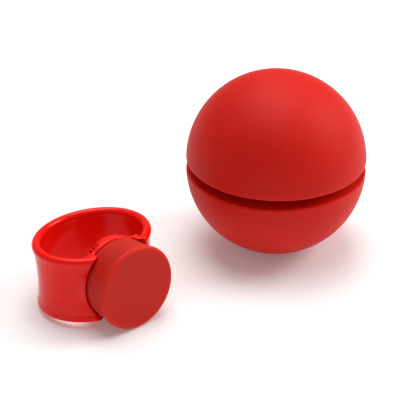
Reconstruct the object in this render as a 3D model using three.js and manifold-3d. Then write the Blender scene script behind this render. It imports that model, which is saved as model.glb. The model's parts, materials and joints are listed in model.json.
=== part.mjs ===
// Watchmaker's friction set for opening and closing screwed watch cases: a two-cap silicone ball and a
// finger ring with a round friction pad. Millimetres, +Z up. The origin is the centre of the ball's flat foot.
import * as THREE from 'three';
import { mergeVertices } from 'three/addons/utils/BufferGeometryUtils.js';
import Module from 'manifold-3d';

const wasm = await Module();
wasm.setup();

// ---- driving dimensions ----
const GAP = 0.3; // between pieces that touch
const CHAMFER = 0.4; // on the hard pieces' corners
const OVERCUT = 1; // how far a cutter runs past the face it opens

const COARSE_FACETS = 32; // round the small and hidden pieces
const FACETS = 48;
const FINE_FACETS = 64;

const BALL_R = 25; // spherical radius of each cap
const CAP_OFFSET = 0.9; // each cap's sphere centre lies this far from the middle plane
const SLOT_WIDTH = 2.8; // open slot round the ball
const SLOT_EDGE_R = 0.55; // rounding of the slot's two edges
const CAP_WALL = 4;
const FLANGE_THICK = 2; // the cap's turned-in lip, clamped by the core
const FLANGE_INNER_R = 13.6;
const FOOT_R = 6; // flat the ball stands on

const CORE_WALL = 2.4;
const POST_R = 6;
const SPACER_R = 18.5; // floor of the slot
const KEY_COUNT = 4; // lugs that stop a cap turning on its core
const KEY_SIZE = { radial: 2.8, width: 5, drop: 1.6, root: 1.5 };
const KEY_R = 17.1;

const SCREW_R = 1.9;
const SCREW_HEAD = { r: 3.8, height: 3.2, socket_r: 1.7, socket_depth: 1.8 };
const SCREW_HOLE_R = 2.3;
const HEAD_POCKET_DEPTH = 6;
const INSERT = { r: 3, waist_r: 2.6, bore_r: 2.2, length: 9 };
const SCREW_SHORT_OF_INSERT = 1; // how far the screw's tip stops below the insert's far end

const FINGER = { long: 14.2, short: 12 }; // half widths of the oval finger hole
const BAND_LIP_R = 1.2; // the rolled lip at each rim
const BAND_HEIGHT = 18.74;
const BAND_WAIST = 0.8; // how far the outside draws in between the lips
const BAND_HOLLOW = 0.35; // the same on the inside
const BAND_STATIONS = 96; // sections round the oval
// The round seat that the pad is screwed to closes the front of the oval. Distances run from the oval's middle.
const SEAT = { r: 10.85, back: 7.9, front: 9.3, edge: 0.5, hole_r: 3.1 };
// A collar round the pad's back grows out of the side walls. It is clipped above and below.
const COLLAR = { foot: 8.5, foot_r: 12.3, middle: 9.8, middle_r: 11.9, mouth: 11.3, mouth_r: 11.7, half_height: 9 };
// flare_start: distance in front of the pad's back; spread: how much it has widened half way to the face.
const PAD = { r: 11.65, waist_r: 10.8, back_r: 10.7, face: 18.9, edge: 0.9, flare_start: 2.5, spread: 0.15 };
// The band's front is cut away for the pad: a round pocket that opens out from flare_from, slope to one.
const POCKET = { r: 11, flare_from: 11.3, slope: 1.3 };
const DISC = { r: 10.35, back: 6.1, tooth_depth: 0.5, teeth: 52, plain_sector: 15, bore_r: 3.1 };
const CARRIER = { plate_r: 7.5, plate: 1.6, stem_r: 2.8 };

const RING_X = -56.5; // the ring stands beside the ball
const RING_Y = 9.9;
const STEEPEST_LEAN = 0.3; // radians; the search for the ring's stance stays below it
const LEAN_HALVINGS = 40;

// ---- materials ----
const plastic = (colour, roughness) =>
  new THREE.MeshStandardMaterial({ color: colour, roughness, metalness: 0 });
const metal = (colour, roughness) =>
  new THREE.MeshStandardMaterial({ color: colour, roughness, metalness: 1 });
const silicone = () => plastic(0xc8231f, 0.6);
const glossyRed = () => plastic(0xd3120c, 0.25);
const coreRed = () => plastic(0x8f1512, 0.5);

// ---- helpers ----
const point = (x, y) => new THREE.Vector2(x, y);

// Points along a circular arc, both ends included. Angles in degrees, 0 along +x.
function arc(cx, cy, r, from, to, steps) {
  const points = [];
  for (let i = 0; i <= steps; i++) {
    const a = THREE.MathUtils.degToRad(from + ((to - from) * i) / steps);
    points.push(point(cx + r * Math.cos(a), cy + r * Math.sin(a)));
  }
  return points;
}

// A body of revolution about Z from a profile of (radius, height) points.
function turned(profile, segments) {
  return new THREE.LatheGeometry(profile, segments).rotateX(Math.PI / 2);
}

function toSolid(geometry) {
  const bare = geometry.clone();
  bare.deleteAttribute('normal');
  bare.deleteAttribute('uv');
  const merged = mergeVertices(bare, 1e-4);
  const position = merged.attributes.position;
  const index = merged.index.array;
  const triangles = [];
  for (let i = 0; i < index.length; i += 3) {
    const [a, b, c] = [index[i], index[i + 1], index[i + 2]];
    if (a !== b && b !== c && c !== a) triangles.push(a, b, c);
  }
  const mesh = new wasm.Mesh({
    numProp: 3,
    vertProperties: new Float32Array(position.array),
    triVerts: new Uint32Array(triangles),
  });
  return new wasm.Manifold(mesh);
}

function toGeometry(solid) {
  const mesh = solid.getMesh();
  const geometry = new THREE.BufferGeometry();
  geometry.setAttribute('position', new THREE.BufferAttribute(mesh.vertProperties, 3));
  geometry.setIndex(new THREE.BufferAttribute(mesh.triVerts, 1));
  geometry.computeVertexNormals();
  return geometry;
}

function piece(name, geometry, material) {
  const mesh = new THREE.Mesh(geometry, material);
  mesh.name = name;
  return mesh;
}

// A cylinder along Z from z = low to z = high.
function rod(r, low, high, segments = FACETS) {
  const geometry = new THREE.CylinderGeometry(r, r, high - low, segments).rotateX(Math.PI / 2);
  return geometry.translate(0, 0, (low + high) / 2);
}

// ---- ball: shared heights above the middle plane ----
const SLOT_HALF = SLOT_WIDTH / 2;
const FLANGE_TOP = SLOT_HALF + FLANGE_THICK;
const CAVITY_R = BALL_R - CAP_WALL;
const CORE_R = CAVITY_R - GAP;
const CORE_RIM = FLANGE_TOP + GAP;
const CORE_POLE = CAP_OFFSET + CORE_R;
const SPACER_HALF = SLOT_HALF - GAP;
const POST_END = SLOT_HALF; // one gap above the spacer
const degrees = THREE.MathUtils.radToDeg;

// Height of the flat foot below the middle plane.
const FOOT_DROP = CAP_OFFSET + Math.sqrt(BALL_R ** 2 - FOOT_R ** 2);

// Four keys, turned about Z, as boxes from z = low to z = high.
function keyBoxes(extra, low, high) {
  const boxes = [];
  for (let i = 0; i < KEY_COUNT; i++) {
    const box = new THREE.BoxGeometry(KEY_SIZE.radial + 2 * extra, KEY_SIZE.width + 2 * extra, high - low);
    box.translate(KEY_R, 0, (low + high) / 2);
    boxes.push(toSolid(box.rotateZ((i * 2 * Math.PI) / KEY_COUNT)));
  }
  return boxes;
}

// Profile of a silicone half shell with a turned-in lip. footRadius 0 leaves the pole round.
function capProfile(footRadius) {
  const edgeCentreR = Math.sqrt((BALL_R - SLOT_EDGE_R) ** 2 - (SLOT_HALF + SLOT_EDGE_R - CAP_OFFSET) ** 2);
  const edgeCentreZ = SLOT_HALF + SLOT_EDGE_R;
  const edgeAngle = degrees(Math.atan2(edgeCentreZ - CAP_OFFSET, edgeCentreR));
  const poleAngle = degrees(Math.acos(footRadius / BALL_R));
  const lipAngle = degrees(Math.asin((FLANGE_TOP - CAP_OFFSET) / CAVITY_R));
  const profile = [
    point(FLANGE_INNER_R, SLOT_HALF),
    ...arc(edgeCentreR, edgeCentreZ, SLOT_EDGE_R, -90, edgeAngle, 2),
    ...arc(0, CAP_OFFSET, BALL_R, edgeAngle, poleAngle, 11).slice(1),
  ];
  if (footRadius > 0) profile.push(point(0, FOOT_DROP));
  profile.push(
    ...arc(0, CAP_OFFSET, CAVITY_R, 90, lipAngle, 6),
    point(FLANGE_INNER_R, FLANGE_TOP),
    point(FLANGE_INNER_R, SLOT_HALF),
  );
  for (const p of profile) if (Math.abs(p.x) < 1e-6) p.x = 0;
  return profile;
}

function capSolid(footRadius) {
  const shell = toSolid(turned(capProfile(footRadius), FACETS));
  const windows = keyBoxes(GAP, SLOT_HALF - OVERCUT, FLANGE_TOP + OVERCUT);
  return windows.reduce((body, window) => body.subtract(window), shell);
}

// The stiff half core inside a cap: a dome on a central post.
function coreCup(bore) {
  const innerR = CORE_R - CORE_WALL;
  const rimAngle = degrees(Math.asin((CORE_RIM - CAP_OFFSET) / CORE_R));
  const innerRimAngle = degrees(Math.asin((CORE_RIM - CAP_OFFSET) / innerR));
  const postAngle = degrees(Math.acos(POST_R / innerR));
  const profile = [
    point(0, POST_END),
    point(POST_R, POST_END),
    ...arc(0, CAP_OFFSET, innerR, postAngle, innerRimAngle, 4),
    ...arc(0, CAP_OFFSET, CORE_R, rimAngle, 90, 6),
  ];
  profile[profile.length - 1].x = 0;
  const keys = keyBoxes(0, FLANGE_TOP - KEY_SIZE.drop, CORE_RIM + KEY_SIZE.root);
  const body = keys.reduce((whole, key) => whole.add(key), toSolid(turned(profile, COARSE_FACETS)));
  return bore.reduce((whole, cut) => whole.subtract(toSolid(cut)), body);
}

// Turns a piece over, so that a half modelled above the middle plane becomes the one below it.
const turnedOver = (geometry) => geometry.rotateX(Math.PI);

function coreSpacer() {
  const profile = [
    point(SCREW_HOLE_R, -SPACER_HALF),
    point(SPACER_R - CHAMFER, -SPACER_HALF),
    point(SPACER_R, -SPACER_HALF + CHAMFER),
    point(SPACER_R, SPACER_HALF - CHAMFER),
    point(SPACER_R - CHAMFER, SPACER_HALF),
    point(SCREW_HOLE_R, SPACER_HALF),
    point(SCREW_HOLE_R, -SPACER_HALF),
  ];
  return turned(profile, FACETS);
}

const INSERT_BOTTOM = POST_END + GAP;
const INSERT_TOP = INSERT_BOTTOM + INSERT.length;
const HEAD_SEAT = -(CORE_POLE - HEAD_POCKET_DEPTH); // where the screw head bears in the lower core
const SCREW_TIP = INSERT_TOP - SCREW_SHORT_OF_INSERT;

function coreInsert() {
  const band = INSERT.length / 3;
  const profile = [
    point(INSERT.bore_r, INSERT_BOTTOM),
    point(INSERT.r, INSERT_BOTTOM),
    point(INSERT.r, INSERT_BOTTOM + band),
    point(INSERT.waist_r, INSERT_BOTTOM + band + CHAMFER),
    point(INSERT.waist_r, INSERT_TOP - band - CHAMFER),
    point(INSERT.r, INSERT_TOP - band),
    point(INSERT.r, INSERT_TOP),
    point(INSERT.bore_r, INSERT_TOP),
    point(INSERT.bore_r, INSERT_BOTTOM),
  ];
  return turned(profile, COARSE_FACETS);
}

function coreScrew() {
  const headTop = HEAD_SEAT - GAP; // the head's bearing face
  const headEnd = headTop - SCREW_HEAD.height;
  const profile = [
    point(0, headEnd),
    point(SCREW_HEAD.r - CHAMFER, headEnd),
    point(SCREW_HEAD.r, headEnd + CHAMFER),
    point(SCREW_HEAD.r, headTop),
    point(SCREW_R, headTop),
    point(SCREW_R, SCREW_TIP - CHAMFER),
    point(SCREW_R - CHAMFER, SCREW_TIP),
    point(0, SCREW_TIP),
  ];
  const socket = rod(SCREW_HEAD.socket_r, headEnd - OVERCUT, headEnd + SCREW_HEAD.socket_depth, 6);
  return toSolid(turned(profile, COARSE_FACETS)).subtract(toSolid(socket));
}

function ball() {
  const group = new THREE.Group();
  group.position.z = FOOT_DROP;
  const insertPocket = [rod(INSERT.r + GAP, POST_END - OVERCUT, INSERT_TOP + GAP, COARSE_FACETS)];
  const screwPassage = [
    rod(SCREW_HOLE_R, POST_END - OVERCUT, CORE_POLE + OVERCUT, COARSE_FACETS),
    rod(SCREW_HEAD.r + GAP, CORE_POLE - HEAD_POCKET_DEPTH, CORE_POLE + OVERCUT, COARSE_FACETS),
  ];
  group.add(
    piece('upper_friction_cap', toGeometry(capSolid(0)), silicone()),
    piece('lower_friction_cap', turnedOver(toGeometry(capSolid(FOOT_R))), silicone()),
    piece('upper_core', toGeometry(coreCup(insertPocket)), coreRed()),
    piece('lower_core', turnedOver(toGeometry(coreCup(screwPassage))), coreRed()),
    piece('core_spacer', coreSpacer(), coreRed()),
    piece('core_insert', coreInsert(), metal(0xc9a24b, 0.35)),
    piece('core_screw', toGeometry(coreScrew()), metal(0xb8bcc0, 0.3)),
  );
  return group;
}

// ---- finger ring, in its own frame: x along the oval, -y the way the pad faces, z along the finger ----

// A round piece about the pad's axis: profile points are (radius, distance towards the pad).
function padTurned(profile, segments) {
  return new THREE.LatheGeometry(profile, segments).rotateX(Math.PI);
}

// A disc or hole about the pad's axis.
const padRod = (r, back, front, segments = FINE_FACETS) =>
  new THREE.CylinderGeometry(r, r, front - back, segments).translate(0, -(back + front) / 2, 0);

// The wall's closed section as (outward distance, height) points.
function wallSection() {
  const lipZ = BAND_HEIGHT / 2 - BAND_LIP_R;
  const drawnIn = (height, depth) => depth * Math.cos((Math.PI / 2) * (height / lipZ)) ** 0.6;
  const steps = 4;
  const section = arc(0, lipZ, BAND_LIP_R, 0, 180, 5);
  for (let i = 1; i < steps; i++) {
    const height = lipZ - (2 * lipZ * i) / steps;
    section.push(point(drawnIn(height, BAND_HOLLOW) - BAND_LIP_R, height));
  }
  section.push(...arc(0, -lipZ, BAND_LIP_R, 180, 360, 5));
  for (let i = 1; i < steps; i++) {
    const height = -lipZ + (2 * lipZ * i) / steps;
    section.push(point(BAND_LIP_R - drawnIn(height, BAND_WAIST), height));
  }
  section.push(section[0].clone());
  return section;
}

// A lathed ring whose stations are moved onto the oval, square to its wall.
function bandGeometry() {
  const section = wallSection();
  const geometry = new THREE.LatheGeometry(section, BAND_STATIONS);
  const position = geometry.attributes.position;
  const [long, short] = [FINGER.long + BAND_LIP_R, FINGER.short + BAND_LIP_R];
  for (let i = 0; i <= BAND_STATIONS; i++) {
    const angle = ((i % BAND_STATIONS) * 2 * Math.PI) / BAND_STATIONS;
    const centre = point(long * Math.sin(angle), -short * Math.cos(angle));
    const outward = point(short * Math.sin(angle), -long * Math.cos(angle)).normalize();
    section.forEach((p, row) => {
      const at = outward.clone().multiplyScalar(p.x).add(centre);
      position.setXYZ(i * section.length + row, at.x, at.y, p.y);
    });
  }
  return geometry;
}

function seatGeometry() {
  const { r, back, front, edge } = SEAT;
  const profile = [
    point(0, back),
    ...arc(r - edge, back + edge, edge, -90, 0, 3),
    ...arc(r - edge, front - edge, edge, 0, 90, 3),
    point(0, front),
  ];
  return padTurned(profile, FINE_FACETS);
}

function collarSolid() {
  const { foot, foot_r, middle, middle_r, mouth, mouth_r, half_height } = COLLAR;
  const profile = [
    point(0, foot),
    point(foot_r, foot),
    point(middle_r, middle),
    point(mouth_r, mouth),
    point(0, mouth),
  ];
  return toSolid(padTurned(profile, FINE_FACETS))
    .trimByPlane([0, 0, 1], -half_height)
    .trimByPlane([0, 0, -1], -half_height);
}

function bandSolid() {
  const past = 2 * SEAT.front; // beyond the front of the wall
  const pocket = [
    point(0, SEAT.front),
    point(POCKET.r, SEAT.front),
    point(POCKET.r, POCKET.flare_from),
    point(POCKET.r + POCKET.slope * (past - POCKET.flare_from), past),
    point(0, past),
  ];
  return toSolid(bandGeometry())
    .add(toSolid(seatGeometry()))
    .add(collarSolid())
    .subtract(toSolid(padTurned(pocket, FINE_FACETS)))
    .subtract(toSolid(padRod(DISC.r + GAP, 0, SEAT.back)))
    .subtract(toSolid(padRod(SEAT.hole_r, 0, past, COARSE_FACETS)));
}

function frictionPad() {
  const back = SEAT.front + GAP;
  const pocket = CARRIER.plate + 2 * GAP;
  const flareStart = back + PAD.flare_start;
  const profile = [
    point(0, back + pocket),
    point(CARRIER.plate_r + GAP, back + pocket),
    point(CARRIER.plate_r + GAP, back),
    point(PAD.back_r - CHAMFER, back),
    point(PAD.back_r, back + CHAMFER),
    point(PAD.waist_r, flareStart),
    point(PAD.waist_r + PAD.spread, (flareStart + PAD.face) / 2),
    ...arc(PAD.r - PAD.edge, PAD.face - PAD.edge, PAD.edge, 0, 90, 3),
    point(0, PAD.face),
  ];
  return padTurned(profile, FACETS);
}

function padCarrier() {
  const plateBack = SEAT.front + GAP;
  const plateFront = plateBack + CARRIER.plate;
  const stemEnd = DISC.back + GAP;
  const profile = [
    point(0, stemEnd),
    point(CARRIER.stem_r - CHAMFER, stemEnd),
    point(CARRIER.stem_r, stemEnd + CHAMFER),
    point(CARRIER.stem_r, plateBack),
    point(CARRIER.plate_r, plateBack),
    point(CARRIER.plate_r, plateFront - CHAMFER),
    point(CARRIER.plate_r - CHAMFER, plateFront),
    point(0, plateFront),
  ];
  return padTurned(profile, COARSE_FACETS);
}

// Outline of the retaining disc: serrated down both sides, plain for a sector at the top and bottom.
function discShape() {
  const shape = new THREE.Shape();
  const steps = DISC.teeth * 2;
  for (let i = 0; i < steps; i++) {
    const angle = (i * 2 * Math.PI) / steps;
    const fromTop = degrees(Math.asin(Math.abs(Math.cos(angle)))); // 0 at the top and at the bottom
    const isValley = i % 2 === 1 && fromTop > DISC.plain_sector;
    const r = isValley ? DISC.r - DISC.tooth_depth : DISC.r;
    const [x, y] = [r * Math.cos(angle), r * Math.sin(angle)];
    if (i === 0) shape.moveTo(x, y);
    else shape.lineTo(x, y);
  }
  shape.closePath();
  const hole = new THREE.Path();
  hole.absarc(0, 0, DISC.bore_r, 0, 2 * Math.PI, true);
  shape.holes.push(hole);
  return shape;
}

function retainingDisc() {
  const depth = SEAT.back - GAP - DISC.back;
  const geometry = new THREE.ExtrudeGeometry(discShape(), { depth, bevelEnabled: false, curveSegments: 20 });
  return geometry.rotateX(Math.PI / 2).translate(0, -DISC.back, 0);
}

// The ring leans back until one of the round edges in front and the band's rear rim both touch the ground.
function ringStance() {
  const rounded = (r, distance, edge) => ({ drop: r - edge, reach: distance, edge });
  const fronts = [
    rounded(PAD.r, PAD.face - PAD.edge, PAD.edge),
    rounded(PAD.back_r, SEAT.front + GAP, 0),
    rounded(SEAT.r, SEAT.back + SEAT.edge, SEAT.edge),
    rounded(DISC.r, DISC.back, 0),
  ];
  const rim = rounded(BAND_HEIGHT / 2, -(FINGER.short + BAND_LIP_R), BAND_LIP_R);
  const below = (lean, part) => part.drop * Math.cos(lean) - part.reach * Math.sin(lean) + part.edge;
  const frontBelow = (lean) => Math.max(...fronts.map((part) => below(lean, part)));
  let [low, high] = [0, STEEPEST_LEAN];
  for (let i = 0; i < LEAN_HALVINGS; i++) {
    const lean = (low + high) / 2;
    if (frontBelow(lean) > below(lean, rim)) low = lean;
    else high = lean;
  }
  return { lean: low, height: below(low, rim) };
}

function fingerRing() {
  const { lean, height } = ringStance();
  const group = new THREE.Group();
  group.position.set(RING_X, RING_Y, height);
  group.rotation.x = -lean;
  group.add(
    piece('ring_band', toGeometry(bandSolid()), glossyRed()),
    piece('friction_pad', frictionPad(), silicone()),
    piece('pad_carrier', padCarrier(), coreRed()),
    piece('retaining_disc', retainingDisc(), glossyRed()),
  );
  return group;
}

const set = new THREE.Group();
set.add(ball(), fingerRing());

export default set;
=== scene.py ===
"""Looks of a watchmaker's set for screwed watch cases: a silicone friction ball made of two caps on a core,
and a finger ring with a friction pad. Metres, +Z up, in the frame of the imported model."""
import json
import math

import bmesh
import bpy
from mathutils import Matrix, Vector


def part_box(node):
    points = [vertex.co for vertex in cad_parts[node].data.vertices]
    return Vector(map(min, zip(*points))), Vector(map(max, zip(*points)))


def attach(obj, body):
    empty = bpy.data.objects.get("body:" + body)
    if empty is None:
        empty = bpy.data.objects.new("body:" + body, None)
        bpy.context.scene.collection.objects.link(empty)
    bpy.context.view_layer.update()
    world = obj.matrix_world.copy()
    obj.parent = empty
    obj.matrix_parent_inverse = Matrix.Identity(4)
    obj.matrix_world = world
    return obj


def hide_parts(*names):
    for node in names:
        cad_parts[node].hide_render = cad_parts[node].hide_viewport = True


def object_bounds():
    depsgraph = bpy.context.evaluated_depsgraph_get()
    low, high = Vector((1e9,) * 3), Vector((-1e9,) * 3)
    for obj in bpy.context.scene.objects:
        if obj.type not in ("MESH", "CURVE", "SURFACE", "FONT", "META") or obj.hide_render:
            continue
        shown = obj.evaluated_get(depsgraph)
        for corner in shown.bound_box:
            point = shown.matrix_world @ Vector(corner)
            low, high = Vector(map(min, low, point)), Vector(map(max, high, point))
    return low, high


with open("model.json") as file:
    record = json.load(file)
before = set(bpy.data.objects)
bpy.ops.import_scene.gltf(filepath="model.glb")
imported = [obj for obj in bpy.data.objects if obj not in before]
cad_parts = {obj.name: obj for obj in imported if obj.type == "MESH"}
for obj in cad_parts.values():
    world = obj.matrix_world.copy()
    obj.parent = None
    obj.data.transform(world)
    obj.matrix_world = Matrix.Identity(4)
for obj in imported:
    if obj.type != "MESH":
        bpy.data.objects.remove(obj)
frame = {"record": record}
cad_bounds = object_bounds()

MM = 0.001
TINY = 1e-7
OVERCUT = MM  # how far a cutter runs past the faces that it cuts
SHARP_ANGLE = math.radians(32)  # shading is smooth over edges flatter than this

# ---- sizes that the boxes of the nodes don't give ----
GAP = 0.3 * MM  # between pieces that touch
SLOT_EDGE_R = 0.55 * MM  # rounding of the slot's two edges
CAP_WALL = 4 * MM
FLANGE_THICK = 2 * MM
FLANGE_INNER_R = 13.6 * MM
FOOT_R = 6 * MM
FOOT_BLEND = 0.8 * MM  # softening of the foot's edge
CORE_WALL = 2.4 * MM
POST_R = 6 * MM
KEY_COUNT = 4
KEY_R = 17.1 * MM
KEY_SIZE = Vector((2.8, 5, 1.6)) * MM  # radial, width, drop
KEY_ROOT = 1.5 * MM  # how deep a key is rooted in its core
SCREW_R = 1.9 * MM
SCREW_HOLE_R = 2.3 * MM
SCREW_HEAD_HEIGHT = 3.2 * MM
SOCKET_R = 1.7 * MM
SOCKET_DEPTH = 1.8 * MM
SCREW_PITCH = 0.7 * MM
SCREW_THREAD_DEPTH = 0.35 * MM
SCREW_THREAD_LENGTH = 15 * MM
SCREW_CHAMFER = 0.4 * MM
HEAD_POCKET_DEPTH = 6 * MM
INSERT_WAIST_R = 2.6 * MM
INSERT_BORE_R = 2.2 * MM
LIP_R = 1.2 * MM  # the band's rolled lip
BAND_HEIGHT = 18.74 * MM
BAND_WAIST = 0.8 * MM
BAND_HOLLOW = 0.35 * MM
FINGER_SHORT = 12 * MM
SEAT_R = 10.85 * MM  # distances along the pad's axis run from the middle of the ring
SEAT_BACK = 7.9 * MM
SEAT_FRONT = 9.3 * MM
SEAT_EDGE = 0.5 * MM
SEAT_HOLE_R = 3.1 * MM
COLLAR_HALF_HEIGHT = 9 * MM  # the collar round the pad's back, clipped above and below
COLLAR_FOOT = 8.5 * MM
COLLAR_FOOT_R = 12.3 * MM
COLLAR_MIDDLE = 9.8 * MM
COLLAR_MIDDLE_R = 11.9 * MM
COLLAR_MOUTH = 11.3 * MM
COLLAR_MOUTH_R = 11.7 * MM
POCKET_R = 11 * MM  # the round cut-away for the pad opens out from here, slope to one
POCKET_FLARE_FROM = 11.3 * MM
POCKET_SLOPE = 1.3
PAD_FACE = 18.9 * MM
PAD_WAIST_R = 10.8 * MM
PAD_BACK_R = 10.7 * MM
PAD_EDGE = 0.9 * MM
PAD_FLARE_START = 2.5 * MM  # in front of the pad's back
PAD_SPREAD = 0.15 * MM  # how much it has widened half way to the face
PLATE_THICK = 1.6 * MM
STEM_R = 2.8 * MM
STEM_PITCH = 1.0 * MM
STEM_THREAD_DEPTH = 0.4 * MM
DISC_BACK = 6.1 * MM
DISC_BORE_R = 3.1 * MM
TEETH = 52
TOOTH_DEPTH = 0.5 * MM
PLAIN_SECTOR = math.radians(15)  # without teeth on both sides of the top and of the bottom

# ---- camera and light ----
VIEW_AZIMUTH = math.radians(-40.84)  # 0 looks along +Y
VIEW_ELEVATION = math.radians(30.08)
VIEW_DISTANCE = 0.4484
VIEW_AIM = Vector((-0.0016, 0.0304, 0))
LENS = 135
SENSOR = 36
AIM_HEIGHT = 0.02  # of the lights


# ---- mesh helpers ----
def arc(cx, cy, r, start, end, steps):
    """Points along a circular arc, both ends included. Angles in degrees, 0 along +x."""
    angles = [math.radians(start + (end - start) * i / steps) for i in range(steps + 1)]
    return [(cx + r * math.cos(a), cy + r * math.sin(a)) for a in angles]


def rounded(corners, closed, steps=5):
    """An outline through (x, y, fillet) corners. Each straight run keeps a point close to its fillets."""
    support = 0.06 * MM
    points = []
    count = len(corners)
    for i, (x, y, fillet) in enumerate(corners):
        at_end = not closed and i in (0, count - 1)
        corner = Vector((x, y))
        if fillet <= 0 or at_end:
            points.append((x, y))
            continue
        before = (Vector(corners[i - 1][:2]) - corner).normalized()
        after = (Vector(corners[(i + 1) % count][:2]) - corner).normalized()
        half = math.acos(max(-1, min(1, before.dot(after)))) / 2
        reach = fillet / math.tan(half)
        centre = corner + (before + after).normalized() * (fillet / math.sin(half))
        first = corner + before * reach - centre
        last = corner + after * reach - centre
        turn = first.angle_signed(last)
        points.append(tuple(corner + before * (reach + support)))
        for k in range(steps + 1):
            a = -turn * k / steps
            spoke = Vector((first.x * math.cos(a) - first.y * math.sin(a),
                            first.x * math.sin(a) + first.y * math.cos(a)))
            points.append(tuple(centre + spoke))
        points.append(tuple(corner + after * (reach + support)))
    return points


def subdivided(points, longest):
    """The same outline with no run longer than this."""
    result = [points[0]]
    for (x0, y0), (x1, y1) in zip(points, points[1:]):
        parts = max(1, math.ceil(math.hypot(x1 - x0, y1 - y0) / longest))
        result += [(x0 + (x1 - x0) * k / parts, y0 + (y1 - y0) * k / parts) for k in range(1, parts + 1)]
    return result


def linked(name, built):
    """Turns a finished bmesh into an object of the scene."""
    mesh = bpy.data.meshes.new(name)
    built.to_mesh(mesh)
    built.free()
    piece = bpy.data.objects.new(name, mesh)
    bpy.context.scene.collection.objects.link(piece)
    return piece


def skin(name, rings, closed):
    """A mesh object from rings of points. closed joins the last ring to the first. One point makes a pole."""
    built = bmesh.new()
    loops = [[built.verts.new(p) for p in ring] for ring in rings]
    around = max(len(loop) for loop in loops)
    pairs = list(zip(loops, loops[1:]))
    if closed:
        pairs.append((loops[-1], loops[0]))
    for a, b in pairs:
        if len(a) == len(b) == 1:
            continue  # from an outside pole to the inside one
        for i in range(around):
            j = (i + 1) % around
            corners = [a[i % len(a)], a[j % len(a)], b[j % len(b)], b[i % len(b)]]
            built.faces.new(list(dict.fromkeys(corners)))
    bmesh.ops.recalc_face_normals(built, faces=built.faces)
    return linked(name, built)


def turned(name, outline, segments=192, closed=False, radius=None):
    """A body of revolution about Z from (radius, height) points. radius(angle, r, z) may shape it."""
    rings = []
    for r, z in outline:
        if r < TINY:
            rings.append([(0, 0, z)])
            continue
        ring = []
        for i in range(segments):
            a = 2 * math.pi * i / segments
            shaped = radius(a, r, z) if radius else r
            ring.append((shaped * math.cos(a), shaped * math.sin(a), z))
        rings.append(ring)
    return skin(name, rings, closed)


def rod(name, r, low, high, segments=96):
    return turned(name, [(0, low), (r, low), (r, high), (0, high)], segments)


def blocks(name, boxes):
    """Closed boxes as one object: each is (size, centre, angle about Z)."""
    built = bmesh.new()
    for size, centre, angle in boxes:
        turn = Matrix.Rotation(angle, 4, "Z")
        cube = turn @ Matrix.Translation(centre) @ Matrix.Diagonal((*size, 1))
        bmesh.ops.create_cube(built, size=1, matrix=cube)
    return linked(name, built)


def applied(piece):
    """Replaces the piece's mesh by what its modifiers make of it."""
    depsgraph = bpy.context.evaluated_depsgraph_get()
    mesh = bpy.data.meshes.new_from_object(piece.evaluated_get(depsgraph))
    piece.modifiers.clear()
    old = piece.data
    piece.data = mesh
    mesh.name = piece.name
    bpy.data.meshes.remove(old)
    return piece


def combine(piece, tool, operation):
    """Cuts the tool from the piece (DIFFERENCE) or joins it on (UNION), and removes the tool."""
    modifier = piece.modifiers.new("combine", "BOOLEAN")
    modifier.operation = operation
    modifier.solver = "MANIFOLD"
    modifier.object = tool
    applied(piece)
    bpy.data.objects.remove(tool)
    return piece


def place(piece, matrix, body, slot, material, *nodes):
    """Puts a finished piece where its nodes are, on their body, with smooth shading and its material."""
    mesh = piece.data
    mesh.transform(matrix)
    mesh.polygons.foreach_set("use_smooth", [True] * len(mesh.polygons))
    mesh.set_sharp_from_angle(angle=SHARP_ANGLE)
    mesh.materials.clear()
    mesh.materials.append(material)
    mesh.update()
    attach(piece, body)
    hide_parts(*nodes)
    return piece


# ---- material helpers ----
def new_material(name):
    """A material with a Principled shader: (material, its node tree, the shader, a joining function)."""
    material = bpy.data.materials.new(name)
    material.use_nodes = True
    tree = material.node_tree
    shader = tree.nodes["Principled BSDF"]

    def join(source, target):
        tree.links.new(source, target)

    return material, tree, shader, join


def object_coordinates(tree):
    return tree.nodes.new("ShaderNodeTexCoord").outputs["Object"]


def noise(tree, coordinates, size, detail=2.0, roughness=0.5):
    """Noise whose blotches are about size metres across."""
    node = tree.nodes.new("ShaderNodeTexNoise")
    node.inputs["Scale"].default_value = 1 / size
    node.inputs["Detail"].default_value = detail
    node.inputs["Roughness"].default_value = roughness
    tree.links.new(coordinates, node.inputs["Vector"])
    return node.outputs["Fac"]


def evened(tree, fac):
    """A noise's usual range, 0.3 to 0.7, stretched to 0 to 1."""
    return spread(tree, fac, 0.3, 0.7, 0, 1)


def spread(tree, value, low, high, to_low, to_high):
    """A value from low..high moved onto to_low..to_high, clamped."""
    node = tree.nodes.new("ShaderNodeMapRange")
    node.inputs["From Min"].default_value = low
    node.inputs["From Max"].default_value = high
    node.inputs["To Min"].default_value = to_low
    node.inputs["To Max"].default_value = to_high
    tree.links.new(value, node.inputs["Value"])
    return node.outputs["Result"]


def mixed(tree, factor, colour_a, colour_b):
    """Colour a where the factor is 0 and b where it is 1. Each is a colour or an output."""
    node = tree.nodes.new("ShaderNodeMix")
    node.data_type = "RGBA"
    tree.links.new(factor, node.inputs[0])
    for colour, socket in ((colour_a, node.inputs[6]), (colour_b, node.inputs[7])):
        if isinstance(colour, bpy.types.NodeSocket):
            tree.links.new(colour, socket)
        else:
            socket.default_value = (*colour, 1)
    return node.outputs[2]


def blotchy(tree, coordinates, size, detail, dark, light):
    """A colour that drifts between two in blotches of this size."""
    cloud = noise(tree, coordinates, size, detail)
    return mixed(tree, evened(tree, cloud), dark, light)


def maths(tree, operation, a, b=None):
    node = tree.nodes.new("ShaderNodeMath")
    node.operation = operation
    for value, socket in ((a, node.inputs[0]), (b, node.inputs[1])):
        if isinstance(value, bpy.types.NodeSocket):
            tree.links.new(value, socket)
        elif value is not None:
            socket.default_value = value
    return node.outputs[0]


def square(tree, value):
    return maths(tree, "MULTIPLY", value, value)


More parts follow.
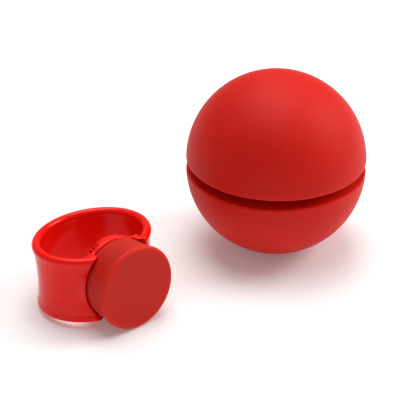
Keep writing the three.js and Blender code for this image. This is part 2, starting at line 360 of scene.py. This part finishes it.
def bump(tree, shader, height, depth, strength):
    node = tree.nodes.new("ShaderNodeBump")
    node.inputs["Strength"].default_value = strength
    node.inputs["Distance"].default_value = depth
    tree.links.new(height, node.inputs["Height"])
    tree.links.new(node.outputs["Normal"], shader.inputs["Normal"])


def near_plane(tree, coordinates, level, reach):
    """1 on the horizontal plane at this height, falling to 0 at reach above and below it."""
    split = tree.nodes.new("ShaderNodeSeparateXYZ")
    tree.links.new(coordinates, split.inputs[0])
    away = maths(tree, "ABSOLUTE", maths(tree, "SUBTRACT", split.outputs["Z"], level))
    return spread(tree, away, 0, reach, 1, 0)


def from_axis(tree, coordinates, centre, axis):
    """How far a point is from an axis, and how far along it from a centre."""

    def vector_maths(operation, vector, other=None):
        node = tree.nodes.new("ShaderNodeVectorMath")
        node.operation = operation
        tree.links.new(vector, node.inputs[0])
        if other is not None:
            node.inputs[1].default_value = other
        return node

    offset = vector_maths("SUBTRACT", coordinates, centre).outputs["Vector"]
    along = vector_maths("DOT_PRODUCT", offset, axis).outputs["Value"]
    length = vector_maths("LENGTH", offset).outputs["Value"]
    squared = maths(tree, "SUBTRACT", square(tree, length), square(tree, along))
    return maths(tree, "SQRT", squared), along


def near_ring(tree, coordinates, centre, axis, radius, reach):
    """1 on a circle about an axis, falling to 0 at a distance of reach from it."""
    radial, along = from_axis(tree, coordinates, centre, axis)
    off = maths(tree, "SUBTRACT", radial, radius)
    squared = maths(tree, "ADD", square(tree, off), square(tree, along))
    return spread(tree, maths(tree, "SQRT", squared), 0, reach, 1, 0)


def near_cylinder(tree, coordinates, centre, axis, radius, reach):
    """1 on a cylinder about an axis, falling to 0 at a distance of reach from it."""
    radial, _ = from_axis(tree, coordinates, centre, axis)
    off = maths(tree, "ABSOLUTE", maths(tree, "SUBTRACT", radial, radius))
    return spread(tree, off, 0, reach, 1, 0)


def silicone(name, deep, light, edge_highlight_colour, edge_mask):
    """Matt silicone: a soft powdery surface that light enters a little way, with a painted highlight in a
    lighter colour at its edges, which are also a little smoother.
    """
    material, tree, shader, join = new_material(name)
    where = object_coordinates(tree)
    colour = blotchy(tree, where, 9 * MM, 3, deep, light)
    fine = noise(tree, where, 0.35 * MM, 4, 0.6)
    rough = spread(tree, fine, 0.3, 0.7, 0.50, 0.60)
    edge_highlight_and_wear = edge_mask(tree, where)
    # painted highlight: the colour turns lighter near the edges; the same mask makes them a little smoother
    # below
    colour = mixed(tree, maths(tree, "MULTIPLY", edge_highlight_and_wear, 0.6), colour, edge_highlight_colour)
    rough = maths(tree, "SUBTRACT", rough, maths(tree, "MULTIPLY", edge_highlight_and_wear, 0.08))
    join(colour, shader.inputs["Base Color"])
    join(rough, shader.inputs["Roughness"])
    shader.inputs["Specular IOR Level"].default_value = 0.16
    shader.inputs["Subsurface Weight"].default_value = 0.12
    shader.inputs["Subsurface Radius"].default_value = (1.0, 0.12, 0.06)
    shader.inputs["Subsurface Scale"].default_value = 1.5 * MM
    shader.inputs["Sheen Weight"].default_value = 0.04
    shader.inputs["Sheen Roughness"].default_value = 0.3
    shader.inputs["Sheen Tint"].default_value = (1, 0.5, 0.4, 1)
    bump(tree, shader, fine, 0.03 * MM, 0.25)
    return material


def glossy(name, deep, light, roughness, groove_shade_mask=None):
    """Polished plastic: clear reflections, faint moulding waves, handling marks and painted shade in its
    grooves.
    """
    material, tree, shader, join = new_material(name)
    where = object_coordinates(tree)
    colour = blotchy(tree, where, 7 * MM, 2, deep, light)
    if groove_shade_mask:
        # painted shade: a darker copy of the deep colour where the mask is high
        colour = mixed(tree, groove_shade_mask(tree, where), colour, [c * 0.55 for c in deep])
    join(colour, shader.inputs["Base Color"])
    marks = noise(tree, where, 0.8 * MM, 5, 0.7)
    join(spread(tree, marks, 0.4, 0.75, roughness, roughness * 1.7), shader.inputs["Roughness"])
    shader.inputs["Specular IOR Level"].default_value = 0.2
    shader.inputs["Subsurface Weight"].default_value = 0.2
    shader.inputs["Subsurface Radius"].default_value = (1.0, 0.05, 0.02)
    shader.inputs["Subsurface Scale"].default_value = 1.5 * MM
    waves = noise(tree, where, 3 * MM, 1)
    bump(tree, shader, waves, 0.02 * MM, 0.3)
    return material


def core_plastic(name, deep, light):
    """Moulded structural plastic with a spark-eroded grain."""
    material, tree, shader, join = new_material(name)
    where = object_coordinates(tree)
    grain = noise(tree, where, 0.25 * MM, 3, 0.6)
    join(blotchy(tree, where, 5 * MM, 2, deep, light), shader.inputs["Base Color"])
    join(spread(tree, grain, 0.3, 0.7, 0.4, 0.55), shader.inputs["Roughness"])
    bump(tree, shader, grain, 0.03 * MM, 0.4)
    return material


def machined(name, dark, bright, roughness, line_size):
    """Turned metal: fine tool lines round the axis, a little duller where it is handled."""
    material, tree, shader, join = new_material(name)
    where = object_coordinates(tree)
    stretch = tree.nodes.new("ShaderNodeMapping")
    stretch.inputs["Scale"].default_value = (0.05, 0.05, 1)
    join(where, stretch.inputs["Vector"])
    lines = noise(tree, stretch.outputs["Vector"], line_size, 2)
    cloud = noise(tree, where, 2 * MM, 3)
    join(mixed(tree, spread(tree, cloud, 0.35, 0.65, 0, 1), dark, bright), shader.inputs["Base Color"])
    join(spread(tree, lines, 0.3, 0.7, roughness * 0.7, roughness * 1.4), shader.inputs["Roughness"])
    shader.inputs["Metallic"].default_value = 1
    bump(tree, shader, lines, 0.01 * MM, 0.3)
    return material


# ---- where things are ----
upper_cap_low, upper_cap_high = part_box("upper_friction_cap")
lower_cap_low, lower_cap_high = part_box("lower_friction_cap")
spacer_low, spacer_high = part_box("core_spacer")
_, upper_core_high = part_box("upper_core")
insert_low, insert_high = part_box("core_insert")
screw_low, screw_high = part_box("core_screw")
band_low, band_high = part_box("ring_band")
pad_low, pad_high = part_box("friction_pad")
disc_low, disc_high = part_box("retaining_disc")
plate_low, plate_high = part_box("pad_carrier")

MIDDLE = (upper_cap_low.z + lower_cap_high.z) / 2  # height of the ball's middle plane
SLOT_HALF = (upper_cap_low.z - lower_cap_high.z) / 2
BALL_R = (upper_cap_high.x - upper_cap_low.x) / 2
CAP_OFFSET = upper_cap_high.z - MIDDLE - BALL_R  # the cap's sphere centre above the middle plane
FOOT_DROP = MIDDLE - lower_cap_low.z
FLANGE_TOP = SLOT_HALF + FLANGE_THICK
CAVITY_R = BALL_R - CAP_WALL
CORE_POLE = upper_core_high.z - MIDDLE
CORE_R = CORE_POLE - CAP_OFFSET
CORE_RIM = FLANGE_TOP + GAP
POST_END = SLOT_HALF

pad_mount = next(m for m in frame["record"]["mounts"] if m["name"] == "pad_face")
ACROSS = Vector((1, 0, 0))
TOWARDS_PAD = Vector(pad_mount["axis"]).normalized()
ALONG_FINGER = TOWARDS_PAD.cross(ACROSS)
PAD_CENTRE = Vector(pad_mount["pos_m"])  # of the pad's face
RING_CENTRE = PAD_CENTRE - TOWARDS_PAD * PAD_FACE
FINGER_LONG = (band_high.x - band_low.x) / 2 - 2 * LIP_R
PAD_R = (pad_high.x - pad_low.x) / 2
DISC_R = (disc_high.x - disc_low.x) / 2
PLATE_R = (plate_high.x - plate_low.x) / 2


def ring_place(*axes):
    """Moves a piece to the middle of the ring and turns its x, y and z to these directions."""
    return Matrix.Translation(RING_CENTRE) @ Matrix(axes).transposed().to_4x4()


UPRIGHT = Matrix.Translation((0, 0, MIDDLE))
TURNED_OVER = UPRIGHT @ Matrix.Rotation(math.pi, 4, "X")
PAD_PLACE = ring_place(ACROSS, ALONG_FINGER, TOWARDS_PAD)
BAND_PLACE = ring_place(ACROSS, -TOWARDS_PAD, ALONG_FINGER)


# ---- ball, in the frame of its middle plane ----
def key_blocks(name, extra, low, high):
    """The keys or their windows, turned about the axis."""
    size = (KEY_SIZE.x + 2 * extra, KEY_SIZE.y + 2 * extra, high - low)
    centre = (KEY_R, 0, (low + high) / 2)
    return blocks(name, [(size, centre, 2 * math.pi * i / KEY_COUNT) for i in range(KEY_COUNT)])


def cap_outline(foot_r):
    """A cap's half section. foot_r 0 leaves the pole round."""
    edge_z = SLOT_HALF + SLOT_EDGE_R
    edge_r = math.sqrt((BALL_R - SLOT_EDGE_R) ** 2 - (edge_z - CAP_OFFSET) ** 2)
    edge_angle = math.degrees(math.atan2(edge_z - CAP_OFFSET, edge_r))
    pole_angle = math.degrees(math.acos(foot_r / BALL_R))
    lip_angle = math.degrees(math.asin((FLANGE_TOP - CAP_OFFSET) / CAVITY_R))
    start = [(FLANGE_INNER_R, SLOT_HALF), (edge_r - 0.2 * MM, SLOT_HALF)]
    outside = arc(0, CAP_OFFSET, BALL_R, edge_angle, pole_angle, 64)[1:]
    foot = []
    if foot_r > 0:
        outside.pop()
        corner = (foot_r, FOOT_DROP, FOOT_BLEND)
        foot = rounded([(*outside[-1], 0), corner, (0, FOOT_DROP, 0)], False, 6)[1:]
    inside = arc(0, CAP_OFFSET, CAVITY_R, 90, lip_angle, 24)
    end = [(FLANGE_INNER_R, FLANGE_TOP), (FLANGE_INNER_R, SLOT_HALF)]
    return start + arc(edge_r, edge_z, SLOT_EDGE_R, -90, edge_angle, 8) + outside + foot + inside + end


def friction_cap(name, foot_r):
    outline = [(0 if abs(r) < TINY else r, z) for r, z in cap_outline(foot_r)]
    cap = turned(name, outline[:-1], closed=True)
    windows = key_blocks("windows", GAP, SLOT_HALF - OVERCUT, FLANGE_TOP + OVERCUT)
    return combine(cap, windows, "DIFFERENCE")


def core_cup(name, bores):
    inner_r = CORE_R - CORE_WALL
    rim_angle = math.degrees(math.asin((CORE_RIM - CAP_OFFSET) / CORE_R))
    inner_rim_angle = math.degrees(math.asin((CORE_RIM - CAP_OFFSET) / inner_r))
    post_angle = math.degrees(math.acos(POST_R / inner_r))
    post_corners = [(0, POST_END, 0), (POST_R, POST_END, 0.3 * MM), (POST_R, POST_END + 8 * MM, 0)]
    outline = rounded(post_corners, False, 4)
    outline += arc(0, CAP_OFFSET, inner_r, post_angle, inner_rim_angle, 20)
    outline += arc(0, CAP_OFFSET, CORE_R, rim_angle, 90, 32)[:-1] + [(0, CORE_POLE)]
    cup = turned(name, outline, 128)
    combine(cup, key_blocks("keys", 0, FLANGE_TOP - KEY_SIZE.z, CORE_RIM + KEY_ROOT), "UNION")
    for r, low, high in bores:
        combine(cup, rod("bore", r, low, high), "DIFFERENCE")
    return cup


def thread(crest, pitch, depth, low, high):
    """A radius function for turned(): a helical V thread between two heights, run out at both ends."""
    def radius(angle, r, z):
        if abs(r - crest) > TINY or not low <= z <= high:
            return r
        phase = (z / pitch - angle / (2 * math.pi)) % 1
        run_out = min(1, (z - low) / pitch, (high - z) / pitch)
        return r - depth * run_out * (1 - abs(2 * phase - 1))
    return radius


def knurl(outer, count, depth, low, high):
    """A radius function for turned(): straight flutes on the outer surface between two heights."""
    def radius(angle, r, z):
        if r < outer - TINY or not low <= z <= high:
            return r
        return r - depth * (0.5 - 0.5 * math.cos(count * angle))
    return radius


def core_screw(name):
    low, high = screw_low.z - MIDDLE, screw_high.z - MIDDLE
    head_r = (screw_high.x - screw_low.x) / 2
    head_top = low + SCREW_HEAD_HEIGHT
    neck_end = head_top + MM
    corners = [
        (0, low, 0),
        (head_r, low, 0.45 * MM),
        (head_r, head_top, 0.15 * MM),
        (SCREW_R, head_top, 0.2 * MM),
        (SCREW_R, neck_end, 0),
    ]
    head = rounded(corners, False, 4)
    shank = subdivided([(SCREW_R, neck_end), (SCREW_R, high - SCREW_CHAMFER)], 0.12 * MM)[1:]
    tip = [(SCREW_R - SCREW_CHAMFER, high), (0, high)]
    thread_start = high - SCREW_THREAD_LENGTH
    cut = thread(SCREW_R, SCREW_PITCH, SCREW_THREAD_DEPTH, thread_start, high - SCREW_CHAMFER / 2)
    flutes = knurl(head_r, 36, 0.12 * MM, low + 0.6 * MM, head_top - 0.3 * MM)

    def radius(angle, r, z):
        return flutes(angle, cut(angle, r, z), z)

    head = subdivided(head[:2], MM) + head[2:]
    screw = turned(name, head + shank + tip, 144, radius=radius)
    return combine(screw, rod("socket", SOCKET_R, low - OVERCUT, low + SOCKET_DEPTH, 6), "DIFFERENCE")


def core_insert(name):
    low, high = insert_low.z - MIDDLE, insert_high.z - MIDDLE
    outer = (insert_high.x - insert_low.x) / 2
    band = (high - low) / 3
    step = 0.4 * MM
    corners = [
        (INSERT_BORE_R, low, 0.1 * MM),
        (outer, low, 0.15 * MM),
        (outer, low + band, 0.1 * MM),
        (INSERT_WAIST_R, low + band + step, 0.1 * MM),
        (INSERT_WAIST_R, high - band - step, 0.1 * MM),
        (outer, high - band, 0.1 * MM),
        (outer, high, 0.15 * MM),
        (INSERT_BORE_R, high, 0.1 * MM),
    ]
    flutes = knurl(outer, 32, 0.14 * MM, low + 0.2 * MM, high - 0.2 * MM)
    return turned(name, rounded(corners, True, 3), 256, closed=True, radius=flutes)


def core_spacer(name):
    half = (spacer_high.z - spacer_low.z) / 2
    outer = (spacer_high.x - spacer_low.x) / 2
    corners = [
        (SCREW_HOLE_R, -half, 0.2 * MM),
        (outer, -half, 0.4 * MM),
        (outer, half, 0.4 * MM),
        (SCREW_HOLE_R, half, 0.2 * MM),
    ]
    return turned(name, rounded(corners, True), closed=True)


def build_ball(materials):
    rubber, plastic = materials["cap"], materials["core"]
    insert_top = insert_high.z - MIDDLE
    insert_r = (insert_high.x - insert_low.x) / 2
    head_r = (screw_high.x - screw_low.x) / 2
    pocket = [(insert_r + GAP, POST_END - OVERCUT, insert_top + GAP)]
    passage = [
        (SCREW_HOLE_R, POST_END - OVERCUT, CORE_POLE + OVERCUT),
        (head_r + GAP, CORE_POLE - HEAD_POCKET_DEPTH, CORE_POLE + OVERCUT),
    ]
    upper_cap = friction_cap("upper_cap_rubber", 0)
    place(upper_cap, UPRIGHT, "upper_half", "silicone_red", rubber, "upper_friction_cap")
    lower_cap = friction_cap("lower_cap_rubber", FOOT_R)
    place(lower_cap, TURNED_OVER, "lower_half", "silicone_red", rubber, "lower_friction_cap")
    upper_core = core_cup("upper_core_moulding", pocket)
    place(upper_core, UPRIGHT, "upper_half", "core_plastic", plastic, "upper_core")
    lower_core = core_cup("lower_core_moulding", passage)
    place(lower_core, TURNED_OVER, "lower_half", "core_plastic", plastic, "lower_core")
    spacer = core_spacer("spacer_disc")
    place(spacer, UPRIGHT, "lower_half", "core_plastic", plastic, "core_spacer")
    insert = core_insert("knurled_insert")
    place(insert, UPRIGHT, "upper_half", "insert_brass", materials["brass"], "core_insert")
    screw = core_screw("socket_screw")
    place(screw, UPRIGHT, "lower_half", "screw_steel", materials["steel"], "core_screw")


# ---- finger ring: x along the oval, -y towards the pad, z along the finger ----
def smooth_step(value, low, high):
    """0 below low, 1 above high, with a soft rise between."""
    t = max(0, min(1, (value - low) / (high - low)))
    return t * t * (3 - 2 * t)


def wall_section():
    """The wall's closed section as (outward distance, height) points: two rolled lips and hollow sides."""
    lip_z = BAND_HEIGHT / 2 - LIP_R
    steps = 14
    flatness = 0.6  # under 1 keeps the hollow flat up to the lips

    def drawn_in(height, depth):
        return depth * max(0, math.cos(math.pi / 2 * height / lip_z)) ** flatness

    section = arc(0, lip_z, LIP_R, 0, 180, 12)
    for i in range(1, steps):
        height = lip_z - 2 * lip_z * i / steps
        section.append((drawn_in(height, BAND_HOLLOW) - LIP_R, height))
    section += arc(0, -lip_z, LIP_R, 180, 360, 12)
    for i in range(1, steps):
        height = -lip_z + 2 * lip_z * i / steps
        section.append((LIP_R - drawn_in(height, BAND_WAIST), height))
    return section


def band_wall(name):
    """The wall's section carried round the oval, square to it."""
    stations = 256
    long, short = FINGER_LONG + LIP_R, FINGER_SHORT + LIP_R

    def around(out, height):
        ring = []
        for i in range(stations):
            angle = 2 * math.pi * i / stations
            centre = Vector((long * math.sin(angle), -short * math.cos(angle)))
            outward = Vector((short * math.sin(angle), -long * math.cos(angle))).normalized()
            ring.append((*(centre + outward * out), height))
        return ring

    return skin(name, [around(out, height) for out, height in wall_section()], True)


def facing_pad(piece):
    """Turns a piece made about Z so that its axis runs towards the pad."""
    piece.data.transform(Matrix.Rotation(math.pi / 2, 4, "X"))
    return piece


def seat(name):
    corners = [
        (0, SEAT_BACK, 0),
        (SEAT_R, SEAT_BACK, SEAT_EDGE),
        (SEAT_R, SEAT_FRONT, SEAT_EDGE),
        (0, SEAT_FRONT, 0),
    ]
    return facing_pad(turned(name, rounded(corners, False, 6), 192))


def softened(piece, voxel, passes):
    """Remeshes the piece evenly and smooths it, which leaves a small fillet wherever two walls meet."""
    remesh = piece.modifiers.new("remesh", "REMESH")
    remesh.mode = "VOXEL"
    remesh.voxel_size = voxel
    smooth = piece.modifiers.new("smooth", "SMOOTH")
    smooth.factor = 0.5
    smooth.iterations = passes
    return applied(piece)


def collar(name):
    """The solid round the pad's back, clipped above and below so that it stays inside the band's height."""
    corners = [
        (0, COLLAR_FOOT, 0),
        (COLLAR_FOOT_R, COLLAR_FOOT, 0),
        (COLLAR_MIDDLE_R, COLLAR_MIDDLE, 4 * MM),
        (COLLAR_MOUTH_R, COLLAR_MOUTH, 0.3 * MM),
        (0, COLLAR_MOUTH, 0),
    ]
    solid = facing_pad(turned(name, rounded(corners, False, 8)))
    size = 4 * COLLAR_FOOT_R
    for side in (-1, 1):
        centre = (0, 0, side * (COLLAR_HALF_HEIGHT + size / 2))
        combine(solid, blocks("clip", [((size, size, size), centre, 0)]), "DIFFERENCE")
    return solid


def ring_band(name):
    shy = 0.02 * MM  # keeps faces from lying in one plane
    past = 2 * SEAT_FRONT
    pocket_floor = SEAT_FRONT - shy
    pocket_outline = [
        (0, pocket_floor),
        (POCKET_R, pocket_floor),
        (POCKET_R, POCKET_FLARE_FROM),
        (POCKET_R + POCKET_SLOPE * (past - POCKET_FLARE_FROM), past),
        (0, past),
    ]
    band = band_wall(name)
    combine(band, seat("seat"), "UNION")
    combine(band, collar("collar"), "UNION")
    combine(band, facing_pad(rod("hole", SEAT_HOLE_R, 0, past)), "DIFFERENCE")
    combine(band, facing_pad(turned("pad_pocket", pocket_outline)), "DIFFERENCE")
    combine(band, facing_pad(rod("disc_pocket", DISC_R + GAP, 0, SEAT_BACK - shy, 160)), "DIFFERENCE")
    return softened(band, voxel=0.2 * MM, passes=10)


def friction_pad(name):
    back = SEAT_FRONT + GAP
    pocket_top = back + PLATE_THICK + 2 * GAP
    pocket_r = PLATE_R + GAP
    flare = back + PAD_FLARE_START
    waist_end = (flare + PAD_FACE) / 2
    corners = [
        (0, pocket_top, 0),
        (pocket_r, pocket_top, 0.2 * MM),
        (pocket_r, back, 0.3 * MM),
        (PAD_BACK_R, back, 0.5 * MM),
        (PAD_WAIST_R, flare, 4 * MM),
        (PAD_WAIST_R + PAD_SPREAD, waist_end, 3 * MM),
        (PAD_R, PAD_FACE, PAD_EDGE),
        (0, PAD_FACE, 0),
    ]
    outline = subdivided(rounded(corners, False, 8), 1.5 * MM)
    return turned(name, outline)


def pad_carrier(name):
    back = SEAT_FRONT + GAP
    front = back + PLATE_THICK
    stem_end = DISC_BACK + GAP
    chamfer = 0.4 * MM
    stem = [(0, stem_end), (STEM_R - chamfer, stem_end)]
    stem += subdivided([(STEM_R, stem_end + chamfer), (STEM_R, back)], 0.1 * MM)
    plate_corners = [
        (STEM_R, back, 0),
        (PLATE_R, back, 0.2 * MM),
        (PLATE_R, front, 0.4 * MM),
        (0, front, 0),
    ]
    plate = rounded(plate_corners, False, 4)[1:]
    cut = thread(STEM_R, STEM_PITCH, STEM_THREAD_DEPTH, stem_end, back)
    return turned(name, stem + plate, 144, radius=cut)


def retaining_disc(name):
    front = SEAT_BACK - GAP
    chamfer = 0.15 * MM
    fade = math.radians(3)  # from a plain sector to full teeth
    groove_width = 0.7  # an exponent, under 1 for wide grooves
    per_tooth = 10
    corners = [
        (DISC_BORE_R, DISC_BACK, 0.2 * MM),
        (DISC_R, DISC_BACK, chamfer),
        (DISC_R, front, chamfer),
        (DISC_BORE_R, front, 0.2 * MM),
    ]

    def toothed(angle, r, z):
        """Rounded grooves down both sides of the rim, none near the top and the bottom."""
        if r < DISC_R - 2 * chamfer:
            return r
        from_plain = math.asin(min(1, abs(math.cos(angle)))) - PLAIN_SECTOR
        depth = TOOTH_DEPTH * smooth_step(from_plain, 0, fade)
        groove = (0.5 + 0.5 * math.cos(TEETH * angle)) ** groove_width
        return r - depth * groove

    return turned(name, rounded(corners, True, 3), TEETH * per_tooth, closed=True, radius=toothed)


def build_ring(materials):
    band = ring_band("band_moulding")
    place(band, BAND_PLACE, "finger_ring", "gloss_red", materials["gloss"], "ring_band")
    pad = friction_pad("pad_rubber")
    place(pad, PAD_PLACE, "pad_unit", "silicone_red", materials["pad"], "friction_pad")
    carrier = pad_carrier("threaded_carrier")
    place(carrier, PAD_PLACE, "pad_unit", "core_plastic", materials["core"], "pad_carrier")
    disc = retaining_disc("serrated_disc")
    place(disc, PAD_PLACE, "retainer", "gloss_red", materials["disc"], "retaining_disc")


def build_materials():
    highlight_and_wear_reach = 1.6 * MM  # how far from an edge the painted highlight and the smoother wear can be seen
    # how far the painted shade in the disc's grooves reaches
    groove_shade_reach = 0.4 * MM

    # painted highlight along the ball's slot, lightest at the middle plane and fading out past the slot's
    # rounded edges
    def slot_edges(tree, where):
        return near_plane(tree, where, MIDDLE, SLOT_HALF + highlight_and_wear_reach)

    # painted highlight round the rounded edge of the pad's face
    def pad_edge(tree, where):
        return near_ring(tree, where, PAD_CENTRE, TOWARDS_PAD, PAD_R, highlight_and_wear_reach)

    # painted shade, darkest at the bottoms of the disc's grooves
    def disc_grooves(tree, where):
        return near_cylinder(tree, where, PAD_CENTRE, TOWARDS_PAD, DISC_R - TOOTH_DEPTH, groove_shade_reach)

    # the third colour of cap_reds and pad_reds is the lighter painted edge highlight
    cap_reds = ((0.59, 0.008, 0.003), (0.63, 0.010, 0.004), (0.85, 0.014, 0.005))
    pad_reds = ((0.51, 0.012, 0.006), (0.56, 0.015, 0.007), (0.92, 0.028, 0.008))
    gloss_reds = ((0.86, 0.006, 0.002), (0.92, 0.008, 0.003))
    polish = 0.11
    return {
        "cap": silicone("cap_silicone", *cap_reds, slot_edges),
        "pad": silicone("pad_silicone", *pad_reds, pad_edge),
        "gloss": glossy("gloss_red", *gloss_reds, polish),
        "disc": glossy("disc_red", *gloss_reds, polish, disc_grooves),
        "core": core_plastic("core_red", (0.42, 0.007, 0.004), (0.48, 0.010, 0.006)),
        "brass": machined("brass", (0.60, 0.40, 0.14), (0.72, 0.50, 0.19), 0.28, 0.12 * MM),
        "steel": machined("steel", (0.48, 0.49, 0.50), (0.62, 0.63, 0.64), 0.24, 0.1 * MM),
    }


# ---- stage ----
def view_direction(azimuth, elevation):
    """The way the camera looks. Azimuth 0 looks along +Y, and a positive one turns to the left."""
    flat = math.cos(elevation)
    return Vector((-math.sin(azimuth) * flat, math.cos(azimuth) * flat, -math.sin(elevation)))


def add_camera():
    camera = bpy.data.objects.new("camera", bpy.data.cameras.new("camera"))
    camera.data.lens = LENS
    camera.data.sensor_width = SENSOR
    camera.data.clip_start = 0.01
    look = view_direction(VIEW_AZIMUTH, VIEW_ELEVATION)
    camera.location = VIEW_AIM - look * VIEW_DISTANCE
    camera.rotation_euler = look.to_track_quat("-Z", "Y").to_euler()
    bpy.context.scene.collection.objects.link(camera)
    bpy.context.scene.camera = camera


def add_floor():
    half_width = 3.0
    built = bmesh.new()
    bmesh.ops.create_grid(built, x_segments=1, y_segments=1, size=half_width)
    floor = linked("floor", built)
    material, tree, shader, join = new_material("paper")
    grain = noise(tree, object_coordinates(tree), 40 * MM, 2)
    join(mixed(tree, grain, (0.86, 0.86, 0.86), (0.88, 0.88, 0.88)), shader.inputs["Base Color"])
    shader.inputs["Roughness"].default_value = 0.9
    shader.inputs["Specular IOR Level"].default_value = 0.1
    shader.inputs["Emission Color"].default_value = (1, 1, 1, 1)
    shader.inputs["Emission Strength"].default_value = 0.12
    floor.data.materials.append(material)


def add_softbox(name, azimuth, elevation, distance, size, power):
    """A square area light that shines at the object from a direction given as the camera's is."""
    light = bpy.data.lights.new(name, "AREA")
    light.shape = "SQUARE"
    light.size = size
    light.energy = power
    lamp = bpy.data.objects.new(name, light)
    low, high = cad_bounds
    aim = Vector(((low[0] + high[0]) / 2, 0, AIM_HEIGHT))
    look = view_direction(math.radians(azimuth), math.radians(elevation))
    lamp.location = aim - look * distance
    lamp.rotation_euler = look.to_track_quat("-Z", "Y").to_euler()
    bpy.context.scene.collection.objects.link(lamp)


def add_world(strength):
    world = bpy.data.worlds.new("studio")
    world.use_nodes = True
    background = world.node_tree.nodes["Background"]
    background.inputs["Color"].default_value = (1, 1, 1, 1)
    background.inputs["Strength"].default_value = strength
    bpy.context.scene.world = world


def build_stage():
    add_camera()
    add_floor()
    add_world(0.3)
    add_softbox("overhead", 0, 88, 0.7, 0.4, 1.5)
    add_softbox("from_behind", 150, 68, 0.7, 0.5, 2.7)
    add_softbox("right_key", 62, 35, 0.6, 0.3, 1.8)
    bpy.context.scene.view_settings.view_transform = "Standard"


materials = build_materials()
build_ball(materials)
build_ring(materials)
build_stage()
